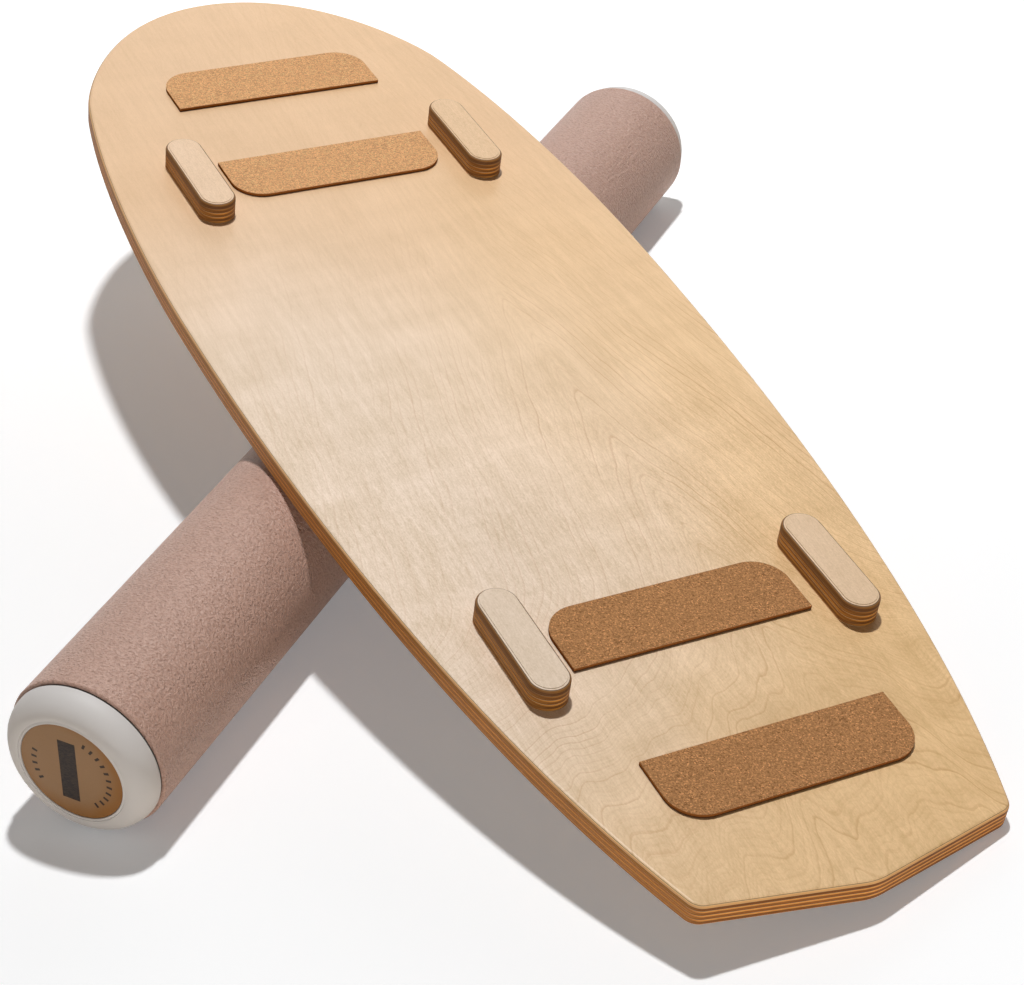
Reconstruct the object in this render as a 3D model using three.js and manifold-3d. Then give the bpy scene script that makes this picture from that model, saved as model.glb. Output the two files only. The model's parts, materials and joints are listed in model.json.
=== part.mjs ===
// Rola bola: a plywood balance board lying tilted on its covered roller.
// Millimetres, +Z up. +Y runs along the roller and +X points down the slope of the board.
import * as THREE from 'three';
import { mergeVertices } from 'three/addons/utils/BufferGeometryUtils.js';
import Module from 'manifold-3d';

const wasm = await Module();
wasm.setup();

// Deck: places along it run from the nose tip, half widths from its long axis
const deckLength = 1118;
const deckThickness = 18;
const deckEdgeRound = 3;
const shoulderFromNose = 142;
const shoulderHalfWidth = 162;
const shoulderAngle = THREE.MathUtils.degToRad(14.3);
const widestFromNose = 457;
const widestHalfWidth = 196;
const tailCornerHalfWidth = 115.4;
const tailPointDepth = 22;
const tailTaperAngle = THREE.MathUtils.degToRad(19.4);
const tailCornerRound = 12;
const tailPointRound = 45;
const noseCurveShares = { tip: 0.64, shoulder: 0.19 };
const flankCurveShares = { shoulder: 0.29, widest: 0.32 };
const sideCurveShares = { widest: 0.18, corner: 0.35 };

// Stop blocks: a pair near each end, beside the pads, round ended, with a routed top edge
const stopLength = 103;
const stopWidth = 30;
const stopHeight = 18;
const stopEdgeRound = 2.3;
const stopEdgeStep = 0.45;
const stopPadGap = 12;
const noseStopsFromNose = 289;
const tailStopsFromTail = 248;

// Cork pads: square edges face each other across each pair's gap
const padWidth = 183;
const padDepth = 55;
const padThickness = 3;
const padCornerRound = 25;
const padEdgeBreak = 0.4;
const padPairGap = 88;
const nosePadsFromNose = 215.5;
const tailPadsFromTail = 180;

// Roller: a plastic tube in a soft cover, with a moulded cap in each end
const tubeDiameter = 110;
const tubeWall = 3.2;
const tubeLength = 909;
const tubeChamfer = 0.8;
const coverThickness = 2.7;
const coverSetback = 1;
const coverEdgeRound = 1.6;

// End cap: a hollow crown on a ribbed spigot
const capCrownHeight = 17;
const capCrownWidth = 15.2;
const capBaseLand = 1.5;
const capRimInset = 2.3;
const capLipWidth = 2.2;
const capLipGroove = 0.6;
const capWall = 3;
const spigotLength = 28;
const spigotWall = 2.6;
const spigotSlack = 1.2;
const spigotLeadIn = 1.5;
const crushRibCount = 12;
const crushRibWidth = 2.4;
const crushRibLength = 20;
const webCount = 8;
const webThickness = 2;
const webHubDiameter = 24;
const webDepth = 17;

// Cap disc: a thin round inlay in the recess of each cap
const discThickness = 1.2;
const discRecess = 0.6;
const discEdgeBreak = 0.3;

// How the deck lies on the roller
const crossingFromNose = 479;
const skewAngle = THREE.MathUtils.degToRad(38.84);
const rollerShift = 35.5;

// Clearances, and the overrun of joined solids
const seatGap = 0.3;
const overrun = 0.5;

// Steps round the curves
const turnSteps = 72;
const capTurnSteps = 64;
const curveSteps = 13;
const edgeSteps = 4;
const cornerSteps = 6;
const halfRoundSteps = 12;

const tubeRadius = tubeDiameter / 2;
const tubeBore = tubeRadius - tubeWall;
const coverBore = tubeRadius + seatGap;
const coverRadius = coverBore + coverThickness;

const plywood = { color: 0xe6c8a0, roughness: 0.45, metalness: 0 };
const plywoodBlock = { color: 0xe9d6b6, roughness: 0.5, metalness: 0 };
const cork = { color: 0xb07a4c, roughness: 0.9, metalness: 0 };
const suede = { color: 0xa68271, roughness: 0.85, metalness: 0 };
const tubePlastic = { color: 0x8c8c8a, roughness: 0.5, metalness: 0 };
const capPlastic = { color: 0xd9d5d1, roughness: 0.35, metalness: 0 };
const kraft = { color: 0xb78a5c, roughness: 0.55, metalness: 0 };

function piece(name, geometry, look) {
  const mesh = new THREE.Mesh(geometry, new THREE.MeshStandardMaterial(look));
  mesh.name = name;
  return mesh;
}

function unit(angle) {
  return new THREE.Vector2(Math.cos(angle), Math.sin(angle));
}

// The arc that rounds the corner between two straight directions
function roundedCorner(corner, directionIn, directionOut, radius, steps) {
  const turn = directionIn.angleTo(directionOut);
  const side = Math.sign(directionIn.cross(directionOut));
  const start = corner.clone().addScaledVector(directionIn, -radius * Math.tan(turn / 2));
  const towardCentre = new THREE.Vector2(-directionIn.y, directionIn.x).multiplyScalar(side);
  const centre = start.clone().addScaledVector(towardCentre, radius);
  return Array.from({ length: steps + 1 }, (_, step) =>
    start.clone().rotateAround(centre, (side * turn * step) / steps));
}

// One long side of the deck, from the nose tip to the tail point
function deckSide() {
  const tip = new THREE.Vector2(0, 0);
  const shoulder = new THREE.Vector2(shoulderFromNose, shoulderHalfWidth);
  const widest = new THREE.Vector2(widestFromNose, widestHalfWidth);
  const corner = new THREE.Vector2(deckLength - tailPointDepth, tailCornerHalfWidth);
  const tailPoint = new THREE.Vector2(deckLength, 0);
  const shoulderDirection = unit(shoulderAngle);
  const alongDeck = unit(0);
  const sideDirection = unit(-tailTaperAngle);
  const tailDirection = tailPoint.clone().sub(corner).normalize();
  const mirroredTail = new THREE.Vector2(-tailDirection.x, tailDirection.y);

  const cornerArc = roundedCorner(corner, sideDirection, tailDirection, tailCornerRound, cornerSteps);
  const pointArc = roundedCorner(tailPoint, tailDirection, mirroredTail, tailPointRound, cornerSteps);
  const flank = widestFromNose - shoulderFromNose;
  const side = corner.x - widestFromNose;
  const curve = (from, outHandle, inHandle, to) =>
    new THREE.CubicBezierCurve(from, outHandle, inHandle, to).getPoints(curveSteps);
  const nose = curve(
    tip,
    new THREE.Vector2(0, noseCurveShares.tip * shoulderHalfWidth),
    shoulder.clone().addScaledVector(shoulderDirection, -noseCurveShares.shoulder * shoulderFromNose),
    shoulder);
  const fore = curve(
    shoulder,
    shoulder.clone().addScaledVector(shoulderDirection, flankCurveShares.shoulder * flank),
    widest.clone().addScaledVector(alongDeck, -flankCurveShares.widest * flank),
    widest);
  const aft = curve(
    widest,
    widest.clone().addScaledVector(alongDeck, sideCurveShares.widest * side),
    cornerArc[0].clone().addScaledVector(sideDirection, -sideCurveShares.corner * side),
    cornerArc[0]);
  return [...nose, ...fore.slice(1), ...aft.slice(1), ...cornerArc.slice(1),
    ...pointArc.slice(0, cornerSteps / 2 + 1)];
}

// The whole outline, anticlockwise, from one side and its mirror image
function mirrored(side) {
  const other = side.slice(1, -1).reverse().map((point) => new THREE.Vector2(point.x, -point.y));
  return [...side, ...other].reverse();
}

// Where each corner of an outline moves when all of its edges are drawn in
function drawnIn(outline, inset) {
  return outline.map((point, index) => {
    const before = outline.at(index - 1);
    const after = outline[(index + 1) % outline.length];
    const normalOf = (from, to) => new THREE.Vector2(to.y - from.y, from.x - to.x).normalize();
    const first = normalOf(before, point);
    const second = normalOf(point, after);
    const miter = first.clone().add(second).divideScalar(1 + first.dot(second));
    return point.clone().addScaledVector(miter, -inset);
  });
}

// A slab with flat faces, its edge shaped by rings that run from the lower face to the upper
function slab(outline, rings) {
  const positions = [];
  for (const { inset, height } of rings) {
    for (const point of drawnIn(outline, inset)) positions.push(point.x, point.y, height);
  }
  const count = outline.length;
  const indices = [];
  for (let ring = 0; ring < rings.length - 1; ring += 1) {
    for (let here = 0; here < count; here += 1) {
      const next = (here + 1) % count;
      const low = ring * count;
      const high = low + count;
      indices.push(low + here, low + next, high + next, low + here, high + next, high + here);
    }
  }
  const top = (rings.length - 1) * count;
  for (const [a, b, c] of THREE.ShapeUtils.triangulateShape(outline, [])) {
    indices.push(a, c, b, top + a, top + b, top + c);
  }
  const geometry = new THREE.BufferGeometry();
  geometry.setAttribute('position', new THREE.Float32BufferAttribute(positions, 3));
  geometry.setIndex(indices);
  geometry.computeVertexNormals();
  return geometry;
}

// Rings of a quarter-round edge that ends at a face, going up or down
function roundedEdge(radius, faceHeight, upward) {
  return Array.from({ length: edgeSteps + 1 }, (_, step) => {
    const angle = (Math.PI / 2) * (upward ? step : edgeSteps - step) / edgeSteps;
    const drop = radius * (1 - Math.sin(angle));
    return {
      inset: radius * (1 - Math.cos(angle)),
      height: upward ? faceHeight - drop : faceHeight + drop,
    };
  });
}

const deckOutline = mirrored(deckSide());

function deckPiece() {
  const rings = [
    ...roundedEdge(deckEdgeRound, 0, false),
    ...roundedEdge(deckEdgeRound, deckThickness, true),
  ];
  return piece('deck', slab(deckOutline, rings), plywood);
}

// A round-ended block whose top edge is routed round and starts with a small step
function stopGeometry() {
  const radius = stopWidth / 2;
  const reach = stopLength / 2 - radius;
  const outline = [-1, 1].flatMap((end) => Array.from({ length: halfRoundSteps + 1 }, (_, step) =>
    unit(Math.PI * (step / halfRoundSteps + (end > 0 ? -1 / 2 : 1 / 2)))
      .multiplyScalar(radius).add(new THREE.Vector2(end * reach, 0))));
  const edge = roundedEdge(stopEdgeRound, stopHeight - stopEdgeStep, true);
  const lastInset = edge.at(-1).inset + stopEdgeStep;
  const rings = [
    { inset: 0, height: 0 },
    ...edge,
    { inset: lastInset, height: stopHeight - stopEdgeStep },
    { inset: lastInset, height: stopHeight },
  ];
  return slab(outline, rings);
}

function stopPieces() {
  const geometry = stopGeometry();
  const pairPlaces = { nose: noseStopsFromNose, tail: deckLength - tailStopsFromTail };
  const fromAxis = (padWidth + stopWidth) / 2 + stopPadGap;
  const pieces = [];
  for (const [pair, place] of Object.entries(pairPlaces)) {
    for (const [side, sign] of [['left', -1], ['right', 1]]) {
      const stop = piece(`stop_${pair}_${side}`, geometry, plywoodBlock);
      stop.position.set(place, sign * fromAxis, deckThickness + seatGap);
      pieces.push(stop);
    }
  }
  return pieces;
}

// A cork pad from its square edge, which lies across the deck at zero
function padGeometry() {
  const half = padWidth / 2;
  const along = unit(0);
  const across = unit(Math.PI / 2);
  const outline = [
    new THREE.Vector2(0, -half),
    ...roundedCorner(new THREE.Vector2(padDepth, -half), along, across, padCornerRound, cornerSteps),
    ...roundedCorner(new THREE.Vector2(padDepth, half), across, unit(Math.PI), padCornerRound,
      cornerSteps),
    new THREE.Vector2(0, half),
  ];
  return slab(outline, [
    { inset: 0, height: 0 },
    { inset: 0, height: padThickness - padEdgeBreak },
    { inset: padEdgeBreak, height: padThickness },
  ]);
}

function padPieces() {
  const geometry = padGeometry();
  const pairPlaces = { nose: nosePadsFromNose, tail: deckLength - tailPadsFromTail };
  const pieces = [];
  for (const [pair, place] of Object.entries(pairPlaces)) {
    for (const [side, sign] of [['fore', -1], ['aft', 1]]) {
      const pad = piece(`pad_${pair}_${side}`, geometry, cork);
      pad.position.set(place + sign * padPairGap / 2, 0, deckThickness + seatGap);
      pad.rotation.z = sign < 0 ? Math.PI : 0;
      pieces.push(pad);
    }
  }
  return pieces;
}

// A closed ring turned round the roller's axis from a profile of radius and place along the axis
function turned(profile, steps) {
  return new THREE.LatheGeometry(profile.map(([radius, along]) => new THREE.Vector2(radius, along)), steps);
}

function arcProfile(centreRadius, centreAlong, radius, height, fromAngle, toAngle, steps) {
  return Array.from({ length: steps + 1 }, (_, step) => {
    const angle = fromAngle + ((toAngle - fromAngle) * step) / steps;
    return [centreRadius + radius * Math.cos(angle), centreAlong + height * Math.sin(angle)];
  });
}

function tubePiece() {
  const end = tubeLength / 2;
  const profile = [
    [tubeBore, -end],
    [tubeRadius - tubeChamfer, -end],
    [tubeRadius, tubeChamfer - end],
    [tubeRadius, end - tubeChamfer],
    [tubeRadius - tubeChamfer, end],
    [tubeBore, end],
    [tubeBore, -end],
  ];
  return piece('roller_tube', turned(profile, turnSteps), tubePlastic);
}

function coverPiece() {
  const end = tubeLength / 2 - coverSetback;
  const round = coverEdgeRound;
  const edgeCentre = coverRadius - round;
  const profile = [
    [coverBore, -end],
    ...arcProfile(edgeCentre, round - end, round, round, -Math.PI / 2, 0, edgeSteps),
    ...arcProfile(edgeCentre, end - round, round, round, 0, Math.PI / 2, edgeSteps),
    [coverBore, end],
    [coverBore, -end],
  ];
  return piece('roller_cover', turned(profile, turnSteps), suede);
}

const capRimRadius = coverRadius - capRimInset;
const capLipRadius = capRimRadius - capCrownWidth;
const discRadius = capLipRadius - capLipWidth - seatGap;
const capTop = capBaseLand + capCrownHeight;
const recessFloor = capTop - discRecess - discThickness - seatGap;
const capCeiling = recessFloor - capWall;
const spigotRadius = tubeBore - spigotSlack;
const spigotBore = spigotRadius - spigotWall;

function solidOf(geometry) {
  const bare = geometry.clone();
  bare.deleteAttribute('normal');
  bare.deleteAttribute('uv');
  const merged = mergeVertices(bare);
  const index = merged.index.array;
  const corners = [];
  for (let at = 0; at < index.length; at += 3) {
    const [a, b, c] = [index[at], index[at + 1], index[at + 2]];
    if (a !== b && b !== c && c !== a) corners.push(a, b, c);
  }
  return new wasm.Manifold(new wasm.Mesh({
    numProp: 3,
    vertProperties: new Float32Array(merged.attributes.position.array),
    triVerts: new Uint32Array(corners),
  }));
}

function geometryOf(solid) {
  const mesh = solid.getMesh();
  const geometry = new THREE.BufferGeometry();
  geometry.setAttribute('position', new THREE.BufferAttribute(mesh.vertProperties, 3));
  geometry.setIndex(new THREE.BufferAttribute(mesh.triVerts, 1));
  geometry.computeVertexNormals();
  return geometry;
}

// The crown's arc from outside, or from inside where the wall is taken off
function crownArc(wall, fromAngle, toAngle, steps) {
  return arcProfile(capLipRadius, capBaseLand, capCrownWidth - wall, capCrownHeight - wall,
    fromAngle, toAngle, steps);
}

// The hollow under the crown: its ceiling, then the inner arc until it meets the spigot's bore
function crownHollow() {
  const boreAngle = Math.acos(Math.min(1, (spigotBore - capLipRadius) / (capCrownWidth - capWall)));
  const ceilingAngle = Math.asin(Math.min(1, (capCeiling - capBaseLand) / (capCrownHeight - capWall)));
  return ceilingAngle > boreAngle
    ? crownArc(capWall, ceilingAngle, boreAngle, edgeSteps)
    : [[spigotBore, capCeiling]];
}

// The cap's shell, with zero along the axis where its rim meets the tube's end
function capShell() {
  const recessRadius = capLipRadius - capLipWidth;
  return turned([
    [0, capCeiling],
    ...crownHollow(),
    [spigotBore, -spigotLength],
    [spigotRadius - spigotLeadIn, -spigotLength],
    [spigotRadius, spigotLeadIn - spigotLength],
    [spigotRadius, 0],
    [capRimRadius, 0],
    ...crownArc(0, 0, Math.PI / 2, 2 * edgeSteps),
    [capLipRadius - capLipGroove, capTop - capLipGroove],
    [capLipRadius - 2 * capLipGroove, capTop],
    [recessRadius, capTop],
    [recessRadius, recessFloor],
    [0, recessFloor],
  ], capTurnSteps);
}

// A plate that stands on the axis plane, from an outline of radius and place along the axis
function radialPlate(outline, thickness) {
  const shape = new THREE.Shape(outline.map(([radius, along]) => new THREE.Vector2(radius, along)));
  const geometry = new THREE.ExtrudeGeometry(shape, { depth: thickness, bevelEnabled: false });
  geometry.translate(0, 0, -thickness / 2);
  return geometry;
}

function capGeometry() {
  const web = radialPlate([
    [webHubDiameter / 2, capCeiling + overrun],
    [webHubDiameter / 2, capCeiling - webThickness],
    [spigotBore + overrun, capCeiling - webDepth],
    [spigotBore + overrun, capCeiling + overrun],
  ], webThickness);
  const crushRib = radialPlate([
    [spigotRadius - overrun, -crushRibLength],
    [spigotRadius, -crushRibLength],
    [tubeBore - seatGap, spigotLeadIn - crushRibLength],
    [tubeBore - seatGap, -overrun],
    [spigotRadius - overrun, -overrun],
  ], crushRibWidth);
  const pattern = (plate, count) => Array.from({ length: count }, (_, at) =>
    solidOf(plate.clone().rotateY((2 * Math.PI * at) / count)));
  let cap = solidOf(capShell());
  for (const rib of [...pattern(web, webCount), ...pattern(crushRib, crushRibCount)]) {
    cap = cap.add(rib);
  }
  return geometryOf(cap);
}

function discGeometry() {
  const edge = discEdgeBreak;
  return turned([
    [0, 0],
    [discRadius, 0],
    [discRadius, discThickness - edge],
    [discRadius - edge, discThickness],
    [0, discThickness],
  ], capTurnSteps);
}

// A cap and its disc at the far end of the roller, or turned round for the near end
function rollerEnd(name, cap, disc, far) {
  const end = new THREE.Group();
  const capMesh = piece(`cap_${name}`, cap, capPlastic);
  const discMesh = piece(`cap_disc_${name}`, disc, kraft);
  capMesh.position.y = tubeLength / 2 + seatGap;
  discMesh.position.y = capMesh.position.y + recessFloor + seatGap;
  end.add(capMesh, discMesh);
  end.rotation.x = far ? 0 : Math.PI;
  return end;
}

function rollerGroup() {
  const roller = new THREE.Group();
  const cap = capGeometry();
  const disc = discGeometry();
  roller.add(tubePiece(), coverPiece());
  roller.add(rollerEnd('near', cap, disc, false), rollerEnd('far', cap, disc, true));
  roller.position.set(0, -rollerShift, coverRadius);
  return roller;
}

// The tilt at which the deck rests on the roller while its lowest corner touches the floor
function restTilt() {
  const reach = Math.max(...deckOutline.map((point) =>
    (point.x - crossingFromNose) * Math.cos(skewAngle) + point.y * Math.sin(skewAngle)));
  const level = reach - deckEdgeRound;
  const rise = coverRadius + seatGap + deckEdgeRound;
  return Math.atan2(rise, level) + Math.asin((coverRadius - deckEdgeRound) / Math.hypot(level, rise));
}

function deckGroup() {
  const tilt = restTilt();
  const lift = coverRadius + seatGap;
  const alongAxis = new THREE.Group();
  alongAxis.add(deckPiece(), ...stopPieces(), ...padPieces());
  alongAxis.position.x = -crossingFromNose;
  const skewed = new THREE.Group();
  skewed.add(alongAxis);
  skewed.rotation.z = -skewAngle;
  const tilted = new THREE.Group();
  tilted.add(skewed);
  tilted.rotation.y = tilt;
  tilted.position.set(lift * Math.sin(tilt), 0, coverRadius + lift * Math.cos(tilt));
  return tilted;
}

const rolaBola = new THREE.Group();
rolaBola.add(deckGroup(), rollerGroup());
rolaBola.updateMatrixWorld(true);

// The origin is the middle of the footprint, on the floor
const footprint = new THREE.Box3().setFromObject(rolaBola, true);
const middle = footprint.getCenter(new THREE.Vector3());
rolaBola.position.set(-middle.x, -middle.y, -footprint.min.z);

export default rolaBola;
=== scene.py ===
import json
import math
import bmesh
import bpy
from mathutils import Matrix, Quaternion, Vector


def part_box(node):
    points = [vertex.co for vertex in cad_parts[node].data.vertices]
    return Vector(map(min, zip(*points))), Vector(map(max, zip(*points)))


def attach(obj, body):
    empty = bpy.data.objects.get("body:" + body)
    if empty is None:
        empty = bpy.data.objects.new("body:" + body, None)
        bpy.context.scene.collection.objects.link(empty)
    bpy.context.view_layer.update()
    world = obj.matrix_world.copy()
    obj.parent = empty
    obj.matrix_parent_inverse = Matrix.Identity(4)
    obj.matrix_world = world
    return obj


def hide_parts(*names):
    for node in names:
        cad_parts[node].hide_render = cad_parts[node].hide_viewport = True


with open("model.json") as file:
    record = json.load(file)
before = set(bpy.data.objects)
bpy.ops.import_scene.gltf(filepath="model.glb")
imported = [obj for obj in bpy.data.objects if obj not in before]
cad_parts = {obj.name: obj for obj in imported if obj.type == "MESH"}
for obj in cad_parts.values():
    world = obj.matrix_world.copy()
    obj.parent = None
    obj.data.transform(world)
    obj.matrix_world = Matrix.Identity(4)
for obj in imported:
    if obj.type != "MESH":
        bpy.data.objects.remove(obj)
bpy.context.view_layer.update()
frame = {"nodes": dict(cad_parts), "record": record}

mm = 0.001
scene = bpy.context.scene

# camera

camera = {
    "location": (0.73115, -1.38882, 1.04746),
    "azimuth": 27.702,      # degrees round the object, 0 looks along +Y
    "elevation": 34.117,
    "roll": -5.5,
    "lens": 84.58,
    "sensor": 36.0,         # across the picture, 1024 x 985
    "clip": (0.05, 80.0),   # the nearest and the farthest that it sees, m
}


def makeCamera(spec):
    data = bpy.data.cameras.new("photoCamera")
    data.sensor_fit = "HORIZONTAL"
    data.sensor_width = spec["sensor"]
    data.lens = spec["lens"]
    data.clip_start, data.clip_end = spec["clip"]
    turn, rise = math.radians(spec["azimuth"]), math.radians(spec["elevation"])
    back = Vector((math.sin(turn) * math.cos(rise), -math.cos(turn) * math.cos(rise), math.sin(rise)))
    piece = bpy.data.objects.new("photoCamera", data)
    piece.rotation_mode = "QUATERNION"
    level = (-back).to_track_quat("-Z", "Y")
    piece.rotation_quaternion = level @ Quaternion((0, 0, 1), math.radians(spec["roll"]))
    piece.location = spec["location"]
    scene.collection.objects.link(piece)
    scene.camera = piece


makeCamera(camera)
print("camera placed")

# node helpers


class Wire:
    def __init__(self, web, socket):
        self.web, self.socket = web, socket

    # Another output of the same node
    def beside(self, name):
        return Wire(self.web, self.socket.node.outputs[name])

    def __add__(self, other):
        return self.web.maths("ADD", self, other)

    def __sub__(self, other):
        return self.web.maths("SUBTRACT", self, other)

    def __rsub__(self, other):
        return self.web.maths("SUBTRACT", other, self)

    def __mul__(self, other):
        return self.web.maths("MULTIPLY", self, other)

    def __truediv__(self, other):
        return self.web.maths("DIVIDE", self, other)

    def __rtruediv__(self, other):
        return self.web.maths("DIVIDE", other, self)

    def __pow__(self, power):
        return self.web.maths("POWER", self, power)

    def __abs__(self):
        return self.web.maths("ABSOLUTE", self)

    __radd__, __rmul__ = __add__, __mul__


class NodeWeb:
    def __init__(self, tree):
        self.tree = tree

    # One node: its settings first, then the values or wires of its sockets
    def node(self, kind, settings=None, values=None, output=0):
        made = self.tree.nodes.new(kind)
        for name, value in (settings or {}).items():
            setattr(made, name, value)
        entries = values.items() if isinstance(values, dict) else enumerate(values or [])
        for key, value in entries:
            if isinstance(value, Wire):
                self.tree.links.new(value.socket, made.inputs[key])
            else:
                made.inputs[key].default_value = value
        return Wire(self, made.outputs[output]) if made.outputs else None

    def maths(self, operation, *values):
        return self.node("ShaderNodeMath", {"operation": operation}, values)

    def split(self, vector):
        parts = self.node("ShaderNodeSeparateXYZ", None, [vector])
        return [parts.beside(axis) for axis in range(3)]

    def vector(self, x, y, z):
        return self.node("ShaderNodeCombineXYZ", None, [x, y, z])

    def stretched(self, vector, scales):
        return self.node("ShaderNodeVectorMath", {"operation": "MULTIPLY"}, [vector, scales])

    # 0 at low and 1 at high, smooth between; it falls where high is the smaller
    def step(self, value, low, high):
        return self.node("ShaderNodeMapRange", {"interpolation_type": "SMOOTHSTEP"},
                         {0: value, 1: low, 2: high, 3: 0.0, 4: 1.0})

    # Each piece's dictionary lists its noises by these four numbers
    def noise(self, place, scale, detail, roughness, seed):
        return self.node("ShaderNodeTexNoise", {"noise_dimensions": "4D"},
                         {"Vector": place, "Scale": scale, "Detail": detail,
                          "Roughness": roughness, "W": seed})

    # A random number from 0 to 1 for each whole number
    def chance(self, number):
        return self.node("ShaderNodeTexWhiteNoise", {"noise_dimensions": "1D"}, {"W": number})

    def dot(self, vector, direction):
        return self.node("ShaderNodeVectorMath", {"operation": "DOT_PRODUCT"},
                         [vector, tuple(direction)], "Value")

    def least(self, a, b):
        return self.maths("MINIMUM", a, b)

    def most(self, a, b):
        return self.maths("MAXIMUM", a, b)

    def blend(self, mask, a, b, how="MIX"):
        return self.node("ShaderNodeMix", {"data_type": "RGBA", "blend_type": how}, {0: mask, 6: a, 7: b}, 2)


# A colour written in picture values, 0 to 255, made linear
def tone(red, green, blue):
    def linear(value):
        share = value / 255
        return share / 12.92 if share <= 0.04045 else ((share + 0.055) / 1.055) ** 2.4
    return (linear(red), linear(green), linear(blue), 1.0)


class Finish(NodeWeb):
    def __init__(self, name):
        self.material = bpy.data.materials.new(name)
        self.material.use_nodes = True
        super().__init__(self.material.node_tree)
        self.tree.nodes.clear()

    # A colour made lighter or darker by a factor about 1
    def shaded(self, colour, factor):
        return self.blend(1.0, colour, self.vector(factor, factor, factor), "MULTIPLY")

    # Object coordinates, turned and centred on a frame of the object's own
    def place(self, matrix=None):
        raw = self.node("ShaderNodeTexCoord", None, None, "Object")
        if matrix is None:
            return raw
        return self.node("ShaderNodeMapping", {"vector_type": "TEXTURE"},
                         {"Vector": raw, "Location": matrix.to_translation(), "Rotation": matrix.to_euler()})

    def bump(self, height, distance, strength):
        return self.node("ShaderNodeBump", None,
                         {"Height": height, "Distance": distance, "Strength": strength})

    def close(self, **sockets):
        names = {"colour": "Base Color", "roughness": "Roughness", "normal": "Normal",
                 "coat": "Coat Weight", "coatRoughness": "Coat Roughness", "specular": "Specular IOR Level"}
        shader = self.node("ShaderNodeBsdfPrincipled", None,
                           {names[key]: value for key, value in sockets.items()})
        self.node("ShaderNodeOutputMaterial", None, {"Surface": shader})
        return self.material


# A Geometry Nodes tree with named inputs; the modifier gets them by their identifiers
class Builder(NodeWeb):
    kinds = {int: "NodeSocketInt", float: "NodeSocketFloat", bpy.types.Material: "NodeSocketMaterial"}

    def __init__(self, name, inputs):
        super().__init__(bpy.data.node_groups.new(name, "GeometryNodeTree"))
        face = self.tree.interface
        face.new_socket("Geometry", in_out="INPUT", socket_type="NodeSocketGeometry")
        for label, value in inputs.items():
            face.new_socket(label, in_out="INPUT", socket_type=self.kinds[type(value)])
        face.new_socket("Geometry", in_out="OUTPUT", socket_type="NodeSocketGeometry")
        self.values = inputs
        self.entry = self.tree.nodes.new("NodeGroupInput")

    # The wire of one input, or a list of several
    def given(self, *labels):
        wires = [Wire(self, self.entry.outputs[label]) for label in labels]
        return wires if len(labels) > 1 else wires[0]

    def moved(self, geometry, x, y, z):
        return self.node("GeometryNodeSetPosition", None,
                         {"Geometry": geometry, "Position": self.vector(x, y, z)})

    def together(self, *parts):
        joined = self.node("GeometryNodeJoinGeometry")
        for part in parts:
            self.tree.links.new(part.socket, joined.socket.node.inputs[0])
        return joined

    def close(self, geometry):
        whole = self.node("GeometryNodeRealizeInstances", None, [geometry])
        dressed = self.node("GeometryNodeSetMaterial", None,
                            {"Geometry": whole, "Material": self.given("Finish")})
        self.node("NodeGroupOutput", None, [dressed])

    # Runs the tree on a mesh and hands back the plain mesh that it makes
    def grow(self, mesh=None):
        carrier = bpy.data.objects.new("carrier", mesh or bpy.data.meshes.new("blank"))
        scene.collection.objects.link(carrier)
        modifier = carrier.modifiers.new("grow", "NODES")
        modifier.node_group = self.tree
        for item in self.tree.interface.items_tree:
            if item.in_out == "INPUT" and item.name in self.values:
                modifier[item.identifier] = self.values[item.name]
        graph = bpy.context.evaluated_depsgraph_get()
        grown = bpy.data.meshes.new_from_object(carrier.evaluated_get(graph), depsgraph=graph)
        bpy.data.objects.remove(carrier)
        return grown


# A tree's inputs from a piece's dictionary, in its unit: ribWidth becomes Rib Width
def inputsFrom(spec, unit, *names):
    def label(name):
        return "".join(" " + letter if letter.isupper() else letter for letter in name).title()
    return {label(name): spec[name] * unit for name in names}


# mesh helpers

mergeWithin = 2e-6      # m, corners closer than this are one
sliverUnder = 1e-7      # m, edges shorter than this go


# Merges doubles, turns all faces outwards, moves the mesh into place and names the piece
def finishPiece(name, mesh, place, body, replaced, material=None, sharpAbove=40):
    work = bmesh.new()
    work.from_mesh(mesh)
    bmesh.ops.remove_doubles(work, verts=work.verts, dist=mergeWithin)
    bmesh.ops.dissolve_degenerate(work, edges=work.edges, dist=sliverUnder)
    bmesh.ops.recalc_face_normals(work, faces=work.faces)
    work.transform(place)
    for face in work.faces:
        face.smooth = True
    for edge in work.edges:
        edge.smooth = edge.calc_face_angle(0) < math.radians(sharpAbove)
    work.to_mesh(mesh)
    work.free()
    if material:
        mesh.materials.clear()
        mesh.materials.append(material)
    mesh.name = name
    piece = bpy.data.objects.new(name, mesh)
    scene.collection.objects.link(piece)
    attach(piece, body)
    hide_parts(replaced)


def meshFrom(points, faces):
    mesh = bpy.data.meshes.new("raw")
    mesh.from_pydata([tuple(point) for point in points], [], faces)
    return mesh


# Moves each corner of an anticlockwise outline inwards, along its miter
def drawnIn(outline, inset):
    moved = []
    for here, point in enumerate(outline):
        before, after = outline[here - 1], outline[(here + 1) % len(outline)]
        first, second = (point - before).normalized(), (after - point).normalized()
        first, second = Vector((first.y, -first.x)), Vector((second.y, -second.x))
        miter = (first + second) / (1 + first.dot(second))
        moved.append(point - miter * inset)
    return moved


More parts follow.
